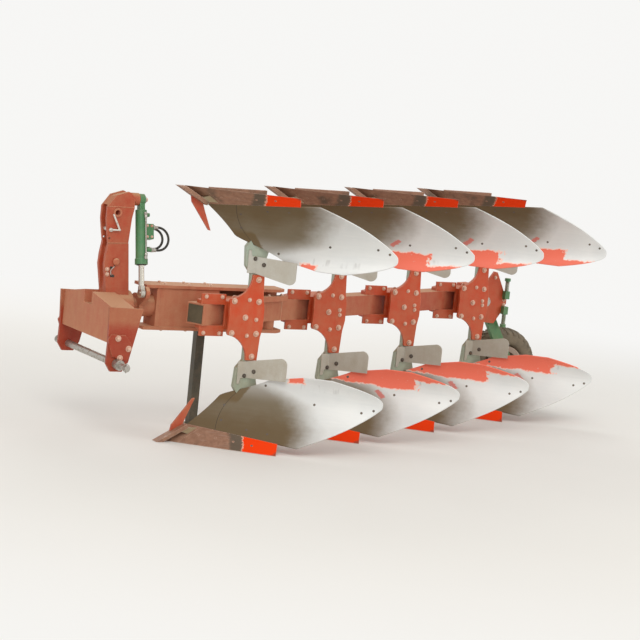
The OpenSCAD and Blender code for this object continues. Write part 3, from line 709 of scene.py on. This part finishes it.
def addStudio():
    deselect()
    bpy.ops.mesh.primitive_plane_add(size=80, location=(0, 0, -0.001))
    floor = bpy.context.object
    floor.name = "floor"
    shader = startMaterial("paleFloor")
    place = objectPlace()
    pale, backdrop = studio["floorColour"], {"Color": full(studio["backColour"]), "Strength": 1.0}
    colour = mixColour(noise(place, 0.7), [c * 0.97 for c in pale], pale)
    feed(shader, {"Base Color": colour, "Roughness": 0.9})
    # Away from the plough the floor fades into the backdrop's own colour
    far = addNode("VectorMath", {0: place}, operation="LENGTH").outputs["Value"]
    blended(ramp(far, *studio["fade"]), shader, addNode("Emission", backdrop), "Material Output")
    floor.data.materials.append(finishes["paleFloor"])
    world = bpy.data.worlds.new("studio")
    world.use_nodes = True
    building["tree"] = world.node_tree
    sky = world.node_tree.nodes["Background"]
    feed(sky, {"Color": full(studio["skyColour"]), "Strength": studio["skyStrength"]})
    path = addNode("LightPath").outputs
    seen = most(path["Is Camera Ray"], path["Is Glossy Ray"], path["Is Transmission Ray"])
    blended(seen, sky, addNode("Background", backdrop), "World Output")
    bpy.context.scene.world = world
    for light in studio["lights"]:
        addLight(*light)
    bpy.context.scene.view_settings.view_transform = "Standard"


# Small helpers for node materials; new nodes go into the tree being built
building = {}


def startMaterial(name):
    material = finishes[name] = bpy.data.materials.new(name)
    material.use_nodes = True
    building["tree"] = material.node_tree
    return material.node_tree.nodes["Principled BSDF"]


def feed(node, inputs):
    for key, value in inputs.items():
        if isinstance(value, bpy.types.NodeSocket):
            node.id_data.links.new(value, node.inputs[key])
        else:
            node.inputs[key].default_value = value


def addNode(kind, inputs=None, **settings):
    node = building["tree"].nodes.new("ShaderNode" + kind)
    for key, value in settings.items():
        setattr(node, key, value)
    feed(node, inputs or {})
    return node


def objectPlace():
    return addNode("TexCoord").outputs["Object"]


def trueNormal():
    return addNode("NewGeometry").outputs["Normal"]


def split(vector):
    return addNode("SeparateXYZ", {0: vector}).outputs


def noise(vector, scale, detail=3.0, rough=0.55):
    return addNode("TexNoise", {"Vector": vector, "Scale": scale, "Detail": detail, "Roughness": rough}).outputs[0]


def calc(operation, a, b=0.0, c=0.0, clamp=False):
    return addNode("Math", {0: a, 1: b, 2: c}, operation=operation, use_clamp=clamp).outputs[0]


def chained(operation, values):
    total = values[0]
    for value in values[1:]:
        total = calc(operation, total, value)
    return total


def add(*values):
    return chained("ADD", values)


def times(*values):
    return chained("MULTIPLY", values)


def most(*values):
    return chained("MAXIMUM", values)


def least(*values):
    return chained("MINIMUM", values)


def rest(value):
    return calc("SUBTRACT", 1.0, value)


def scaled(value, by, plus):
    return calc("MULTIPLY_ADD", value, by, plus)


def spread(value, amount):
    # Noise about zero, this far each way
    return scaled(value, 2 * amount, -amount)


def ramp(value, low, high, outLow=0.0, outHigh=1.0):
    return addNode("MapRange", {"Value": value, "From Min": low, "From Max": high, "To Min": outLow,
                                "To Max": outHigh}, interpolation_type="SMOOTHSTEP").outputs["Result"]


def band(value, half, soft):
    # One close to zero, none further off than half
    return ramp(calc("ABSOLUTE", value), half + soft, half)


def full(colour):
    return (*colour, 1.0)


def tint(red, green, blue):
    # Screen colour, 0 to 255, as the linear colour that shaders take
    return tuple((c / 255 / 12.92) if c / 255 < 0.04045 else ((c / 255 + 0.055) / 1.055) ** 2.4
                 for c in (red, green, blue))


def mixColour(factor, a, b):
    # The Mix node's colours are its inputs six and seven, its mixed colour is output two
    a, b = (c if isinstance(c, bpy.types.NodeSocket) else full(c) for c in (a, b))
    return addNode("Mix", {0: factor, 6: a, 7: b}, data_type="RGBA").outputs[2]


def stretched(vector, scale, turn=(0, 0, 0)):
    return addNode("Mapping", {"Vector": vector, "Scale": scale, "Rotation": turn}).outputs["Vector"]


def softNormal(radius):
    return addNode("Bevel", {"Radius": radius}, samples=4).outputs["Normal"]


def addBump(shader, height, strength, distance, soft=0.0):
    bump = addNode("Bump", {"Height": height, "Strength": strength, "Distance": distance})
    if soft:
        feed(bump, {"Normal": softNormal(soft)})
    feed(shader, {"Normal": bump.outputs["Normal"]})


def edgeMask(radius):
    dot = addNode("VectorMath", {0: softNormal(radius), 1: trueNormal()}, operation="DOT_PRODUCT")
    return ramp(dot.outputs["Value"], 0.985, 0.90)


def offBeam(height):
    # How far up or down from the beam's axis
    return calc("ABSOLUTE", add(height, -site["beamHeight"]))


def paintMaterial(name, look):
    shader = startMaterial(name)
    place = objectPlace()
    axes = split(place)
    up = split(trueNormal())["Z"]
    broad, middle, fine = noise(place, 3.1, 4), noise(place, 17, 5), noise(place, 160)
    streaks = noise(stretched(place, (30, 30, 3.5)), 1.0, 4)
    tone = mixColour(ramp(broad, 0.3, 0.7), look["paint"], look["faded"])
    # Upward faces take dust, which on the frame is also a painted highlight on the flange tops
    dustAndSheenOnTop = times(ramp(up, 0.25, 0.9), look["topDustAndSheen"])
    low = ramp(axes["Z"], look["dustTop"], look["dustFoot"], 0, look["footDust"])
    # The tractor's wheels throw the most dust over the front; soil cakes the shanks' feet
    front = ramp(axes["X"], 0.9, -0.7, 0, look["frontDust"])
    foot = ramp(offBeam(axes["Z"]), 0.58, 0.68, 0, look["soilFoot"])
    dusty = add(dustAndSheenOnTop, low, front, foot, spread(middle, look["patchy"] / 2), spread(streaks, look["patchy"] / 3),
                look["dustAll"])
    grains = calc("ADD", dusty, spread(fine, 0.22), clamp=True)
    coat = mixColour(grains, tone, look["dust"])
    edge = times(edgeMask(0.005), ramp(middle, 0.42, 0.62, 0.15, look["edgeWear"]))
    coat = mixColour(edge, coat, look["edge"])
    chip = ramp(noise(place, 34, 6, 0.7), look["chipAt"], look["chipAt"] + 0.03)
    feed(shader, {"Base Color": mixColour(chip, coat, look["chip"]), "Specular IOR Level": 0.4,
                  "Roughness": ramp(grains, 0.0, 0.8, look["gloss"], 0.85)})
    addBump(shader, scaled(fine, 0.5, times(chip, -1.0)), 0.25, 0.0012, 0.003)


redPaint = {"paint": tint(178, 60, 30), "faded": tint(170, 70, 42), "dust": tint(184, 136, 100),
            "topDustAndSheen": 0.72, "dustTop": 1.15, "dustFoot": 0.30, "footDust": 0.20, "patchy": 0.55, "dustAll": 0.20,
            "frontDust": 0.0, "soilFoot": 0.0, "edge": tint(222, 148, 118), "edgeWear": 0.75, "chipAt": 0.735,
            "chip": tint(150, 100, 80), "gloss": 0.42}
palePaint = dict(redPaint, paint=tint(188, 184, 172), faded=tint(198, 196, 186), dust=tint(156, 138, 108),
                 edge=tint(226, 224, 214), dustAll=0.08, topDustAndSheen=0.5, chip=tint(130, 105, 84), chipAt=0.70, gloss=0.4)
paints = {
    "towerRed": redPaint, "paleGrey": palePaint,
    # The frame's strong top dust and lighter dust colour are partly a painted highlight on its flange tops
    "frameRed": dict(redPaint, frontDust=0.36, topDustAndSheen=1.0, dustAll=0.15, dust=tint(196, 146, 112)),
    "coverRed": dict(redPaint, paint=tint(160, 50, 24), faded=tint(156, 58, 32), dustAll=0.05, patchy=0.3,
                     dustTop=0.72, dustFoot=0.80, footDust=0.42),
    "boardBack": dict(redPaint, paint=tint(188, 66, 42), dust=tint(150, 128, 98), dustAll=0.32, footDust=0.1),
    "legRed": dict(redPaint, paint=tint(200, 66, 22), faded=tint(188, 74, 36), dustAll=0.10, footDust=0.16,
                   topDustAndSheen=0.35, edge=tint(240, 168, 140)),
    "knifeRed": dict(redPaint, paint=tint(190, 62, 34), faded=tint(186, 78, 50), dustAll=0.12, topDustAndSheen=0.3,
                     footDust=0.1, edgeWear=0.9),
    "cylinderGreen": dict(redPaint, paint=tint(62, 122, 78), faded=tint(76, 134, 90), dust=tint(142, 142, 106),
                          edge=tint(150, 190, 158), dustAll=0.10, topDustAndSheen=0.35, chip=tint(120, 116, 100), gloss=0.33),
    "shankGreen": dict(palePaint, paint=tint(158, 176, 158), faded=tint(172, 186, 170), dustAll=0.14, soilFoot=0.9),
    "rimGrey": dict(redPaint, paint=tint(176, 160, 150), faded=tint(188, 172, 162), dust=tint(160, 138, 116),
                    edge=tint(214, 200, 190), dustAll=0.28, chip=tint(130, 98, 78), gloss=0.45),
    "standBlack": dict(redPaint, paint=tint(46, 50, 46), faded=tint(58, 62, 56), dust=tint(132, 116, 92),
                       edge=tint(110, 108, 98), dustAll=0.08, chip=tint(120, 88, 66), gloss=0.45),
    "paleLine": dict(redPaint, paint=tint(224, 190, 160), faded=tint(214, 170, 140), dustAll=0.1, patchy=0.3)}


def bodyPlace():
    # Place on one plough body: w out from the furrow wall, z over its own share tip, and which leg it is on
    start = (site["midX"], site["midY"] - site["firstLegY"], 0)
    axes = split(addNode("VectorMath", {0: objectPlace(), 1: start}, operation="ADD").outputs[0])
    pitch, furrow = site["legPitch"], site["furrow"]
    size = pitch * pitch + furrow * furrow
    along = scaled(axes["X"], pitch / size, times(axes["Y"], furrow / size))
    index = calc("FLOOR", add(along, 0.46))
    w = calc("SUBTRACT", scaled(index, furrow, board["wall"]), axes["Y"])
    return w, calc("SUBTRACT", site["beamHeight"], offBeam(axes["Z"])), index


boardLook = {"clean": tint(230, 231, 229), "brushed": tint(221, 223, 222), "soil": tint(119, 107, 86),
             "darkSoil": tint(104, 86, 58), "grime": tint(106, 86, 54), "line": tint(58, 50, 42),
             "drip": tint(150, 148, 144), "patch": tint(247, 118, 92), "patchRim": tint(252, 206, 190),
             "smear": tint(206, 104, 92), "worn": tint(160, 150, 134)}


def boardMaterial(name, look):
    shader = startMaterial(name)
    place, uv = objectPlace(), addNode("TexCoord").outputs["UV"]
    sheet = split(uv)
    w, z = sheet["X"], sheet["Y"]
    broad, middle, fine = noise(place, 4.2, 4), noise(place, 23, 5), noise(place, 210)
    jag = noise(place, 60, 4, 0.7)
    # Scratches follow the soil as it turns over along the board
    flow = noise(stretched(uv, (7, 60, 1), (0, 0, -0.30)), 1.0, 6, 0.7)
    # Dust lies thickest next to the share and the shin, and thins out towards the tail
    late = most(add(z, -0.300), 0.0)
    reach = add(w, times(z, 0.86), times(late, late, 8.0), -0.600,
                spread(broad, 0.045), spread(flow, 0.014), spread(middle, 0.018))
    soil = times(ramp(reach, 0.105, -0.105), ramp(z, 0.28, 0.41, 1.0, 0.67))
    haze = ramp(reach, 0.30, 0.0, 0.0, 0.10)
    grain = add(times(flow, 0.35), times(broad, 0.65))
    steel = mixColour(ramp(grain, 0.36, 0.68), look["clean"], look["brushed"])
    deep = add(z, spread(broad, 0.14), spread(flow, 0.05))
    dirt = mixColour(ramp(deep, 0.10, 0.30), look["darkSoil"], look["soil"])
    skin = mixColour(most(soil, haze), steel, dirt)
    # Seam of the separate shin piece, and the grime that gathers along it
    bow = add(z, -0.29)
    seamAt = calc("SUBTRACT", w, scaled(times(bow, bow), 2.2, 0.058))
    high = ramp(z, 0.235, 0.30)
    caked = times(ramp(add(seamAt, spread(middle, 0.016)), 0.014, 0.002), high, 0.92)
    inner = add(w, -0.075, spread(middle, 0.012), spread(jag, 0.006))
    edgeCake = times(ramp(inner, 0.028, 0.018), ramp(z, 0.26, 0.29), ramp(z, 0.425, 0.405), 0.9)
    skin = mixColour(most(caked, edgeCake), skin, look["grime"])
    line = times(band(seamAt, 0.0009, 0.0008), 0.8)
    skin = mixColour(line, skin, look["line"])
    # Dribbles near the top edge of the boards
    drip = times(ramp(noise(stretched(place, (30, 30, 5)), 1.0, 1), 0.52, 0.74),
                 band(add(z, -0.424), 0.014, 0.016), band(add(w, -0.40), 0.08, 0.04), 0.38)
    skin = mixColour(drip, skin, look["drip"])
    # Paint that the soil hasn't reached, with its lifted rim: a small patch on the first board, and on
    # the others a larger one with a strip above it
    isFirst = ramp(bodyPlace()[2], 0.6, 0.4)
    shift = add(spread(jag, 0.012), spread(middle, 0.018), spread(broad, 0.03))
    inside = add(z, shift, times(w, 0.03), -0.378)
    patchEnd = add(0.462, spread(middle, 0.045), spread(jag, 0.012), times(w, -1.0))
    strip = least(add(z, shift, times(w, 0.10), -0.487), add(0.600, times(w, -1.0)))
    edge = most(least(inside, patchEnd), strip)
    off = times(calc("ABSOLUTE", add(w, -0.290)), -1.0)
    small = least(add(z, shift, times(w, -0.10), -0.417), add(0.034, spread(jag, 0.01), off))
    edge = scaled(isFirst, calc("SUBTRACT", small, edge), edge)
    specks = ramp(noise(place, 95), 0.70, 0.74)
    kept = times(ramp(edge, 0.0, 0.002), rest(specks))
    skin = mixColour(kept, skin, look["patch"])
    rim = times(band(add(edge, 0.0022), 0.0022, 0.002), 0.8)
    skin = mixColour(rim, skin, look["patchRim"])
    # Smear beside the upper stay bolt of the following boards
    across = add(times(w, 0.685), times(z, 0.728), -0.4536, spread(jag, 0.012))
    along = add(times(w, 0.728), times(z, -0.685), -0.0265)
    smear = times(band(across, 0.007, 0.004), band(along, 0.030, 0.008), rest(isFirst), 0.85)
    skin = mixColour(smear, skin, look["smear"])
    # Board edges darkened: painted shade lines along the edges
    skin = mixColour(times(edgeMask(0.003), 0.55), skin, look["worn"])
    bare = rest(most(kept, soil))
    feed(shader, {"Base Color": skin, "Metallic": times(bare, 0.14),
                  "Roughness": add(times(soil, 0.26), times(middle, 0.14), 0.42)})
    relief = add(times(flow, 0.10), times(fine, add(soil, 0.1)), times(line, -1.5), times(kept, 0.5))
    addBump(shader, relief, 0.22, 0.0012)


shareLook = {"rust": tint(140, 102, 80), "rustLight": tint(160, 120, 96), "dark": tint(96, 80, 64),
             "scoured": tint(190, 170, 156), "fresh": tint(248, 64, 4), "freshRim": tint(248, 186, 160),
             "tar": tint(86, 80, 66), "bright": tint(222, 190, 172)}


def shareMaterial(name, look, painted):
    shader = startMaterial(name)
    place = objectPlace()
    w, z, _ = bodyPlace()
    broad, middle, fine = noise(place, 7, 4), noise(place, 31, 6, 0.65), noise(place, 230, 4)
    flow = noise(stretched(place, (5, 8, 90), (0, 0, 0.65)), 1.0, 5, 0.6)
    rust = mixColour(ramp(middle, 0.35, 0.68), look["rust"], look["rustLight"])
    rust = mixColour(ramp(broad, 0.55, 0.78), rust, look["dark"])
    shine = times(ramp(flow, 0.54, 0.70), ramp(broad, 0.62, 0.42))
    skin = mixColour(times(shine, 0.3), rust, look["scoured"])
    metal = times(shine, 0.6)
    if painted:
        # Paint left at the share's outer end: dark just ahead of it, then a lifted rim
        jag = noise(place, 70, 4, 0.7)
        border = add(w, times(z, 1.25), spread(jag, 0.016), -0.375)
        dark = times(band(add(border, 0.030), 0.016, 0.022), 0.85)
        skin = mixColour(dark, skin, look["tar"])
        fresh = ramp(border, 0.0, 0.002)
        skin = mixColour(fresh, skin, look["fresh"])
        skin = mixColour(times(band(border, 0.0014, 0.0016), 0.85), skin, look["freshRim"])
        # Darker towards the share's outer end
        outerEndDark = times(ramp(add(w, spread(middle, 0.03)), 0.485, 0.515), 0.7)
        skin = mixColour(outerEndDark, skin, look["dark"])
        metal = times(metal, rest(fresh))
        feed(shader, {"Specular IOR Level": scaled(fresh, -0.35, 0.5)})
    skin = mixColour(times(edgeMask(0.004), 0.7), skin, look["bright"])
    feed(shader, {"Base Color": skin, "Metallic": metal, "Roughness": scaled(shine, -0.25, 0.66)})
    addBump(shader, add(times(middle, 0.7), fine), 0.35, 0.0016, 0.002)


def metalMaterial(name, colour, dull, gloss, metallic, grime=tint(124, 104, 80), grimeAt=0.52):
    shader = startMaterial(name)
    place = objectPlace()
    middle, fine = noise(place, 40, 5), noise(place, 300)
    dirty = ramp(middle, grimeAt, grimeAt + 0.2)
    skin = mixColour(dirty, mixColour(ramp(fine, 0.3, 0.7), colour, dull), grime)
    rough = scaled(dirty, 0.35, scaled(fine, 0.12, gloss))
    feed(shader, {"Base Color": skin, "Metallic": times(rest(dirty), metallic), "Roughness": rough})
    addBump(shader, fine, 0.15, 0.0006, 0.001)


metals = {"bareSteel": (tint(190, 186, 180), tint(168, 162, 152), 0.30, 0.8),
          "brightSteel": (tint(232, 228, 220), tint(214, 206, 196), 0.34, 0.35),
          "zincBolt": (tint(226, 196, 176), tint(210, 168, 144), 0.38, 0.30, tint(200, 130, 104), 0.54),
          "darkBolt": (tint(92, 86, 80), tint(108, 98, 88), 0.45, 0.5),
          # Dark metal of the hub cap, and the painted shade in the tower's holes
          "darkMetalAndHoleShade": (tint(56, 52, 48), tint(74, 66, 58), 0.55, 0.3),
          "chromeRod": (tint(206, 202, 192), tint(194, 188, 176), 0.14, 0.9, tint(170, 158, 138), 0.62)}


def rubberMaterial(name, colour, dust, amount):
    shader = startMaterial(name)
    place = objectPlace()
    middle, fine = noise(place, 14, 5), noise(place, 190, 4)
    grey = calc("ADD", add(spread(middle, 0.5), spread(fine, 0.28)), amount, clamp=True)
    feed(shader, {"Base Color": mixColour(grey, colour, dust), "Specular IOR Level": 0.3,
                  "Roughness": ramp(grey, 0, 1, 0.55, 0.92)})
    addBump(shader, fine, 0.3, 0.0012)


rubbers = {"tyreRubber": (tint(74, 70, 62), tint(144, 131, 110), 0.60),
           "hoseRubber": (tint(40, 42, 42), tint(124, 112, 96), 0.16),
           "capPlastic": (tint(58, 56, 44), tint(120, 104, 80), 0.42)}


def makeFinishes():
    for name, look in paints.items():
        paintMaterial(name, look)
    boardMaterial("boardSteel", boardLook)
    shareMaterial("shareSteel", shareLook, True)
    shareMaterial("pointSteel", shareLook, False)
    for name, settings in metals.items():
        metalMaterial(name, *settings)
    for name, settings in rubbers.items():
        rubberMaterial(name, *settings)


nodeFinish = {
    "frameRed": "headstock_box axle_bearing front_frame main_beam width_bar stand_sleeve turning_axle",
    "towerRed": "headstock_tower lower_stays upper_stays", "coverRed": "side_plates",
    "legRed": "leg_plates leg_consoles wheel_bracket", "knifeRed": "lower_knives upper_knives",
    "cylinderGreen": "cylinder_barrel valve_block stop_spindles wheel_arm",
    "shankGreen": "lower_shanks upper_shanks", "paleGrey": "lower_trash_boards upper_trash_boards",
    "rimGrey": "wheel_rim", "standBlack": "parking_stand", "shareSteel": "lower_shares upper_shares",
    "pointSteel": "lower_points upper_points lower_landsides upper_landsides", "brightSteel": "top_link_pin",
    "bareSteel": "link_shaft cylinder_pin arm_pin", "chromeRod": "cylinder_rod", "capPlastic": "beam_caps",
    "boardSteel": "lower_boards upper_boards", "tyreRubber": "tyre", "hoseRubber": "cylinder_hoses"}


def dressNodes():
    for finish, names in nodeFinish.items():
        for name in names.split():
            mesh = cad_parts[name].data
            mesh.materials.clear()
            mesh.materials.append(finishes[finish])


makeFinishes()
addCamera()
addHoses()
print("camera and hoses ready")
dressNodes()
print("finishes on", len(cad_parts), "nodes")
addBoards()
addShareNoses()
addFaceBolts()
print("boards ready")
addLegBolts()
addFrameBolts()
addStayFeet()
print("bolts ready")
addTyre()
addWheelFittings()
print("wheel ready")
addCylinderFittings()
addTowerPieces()
addWelds()
addBeamSeam()
print("fittings ready")
addStudio()
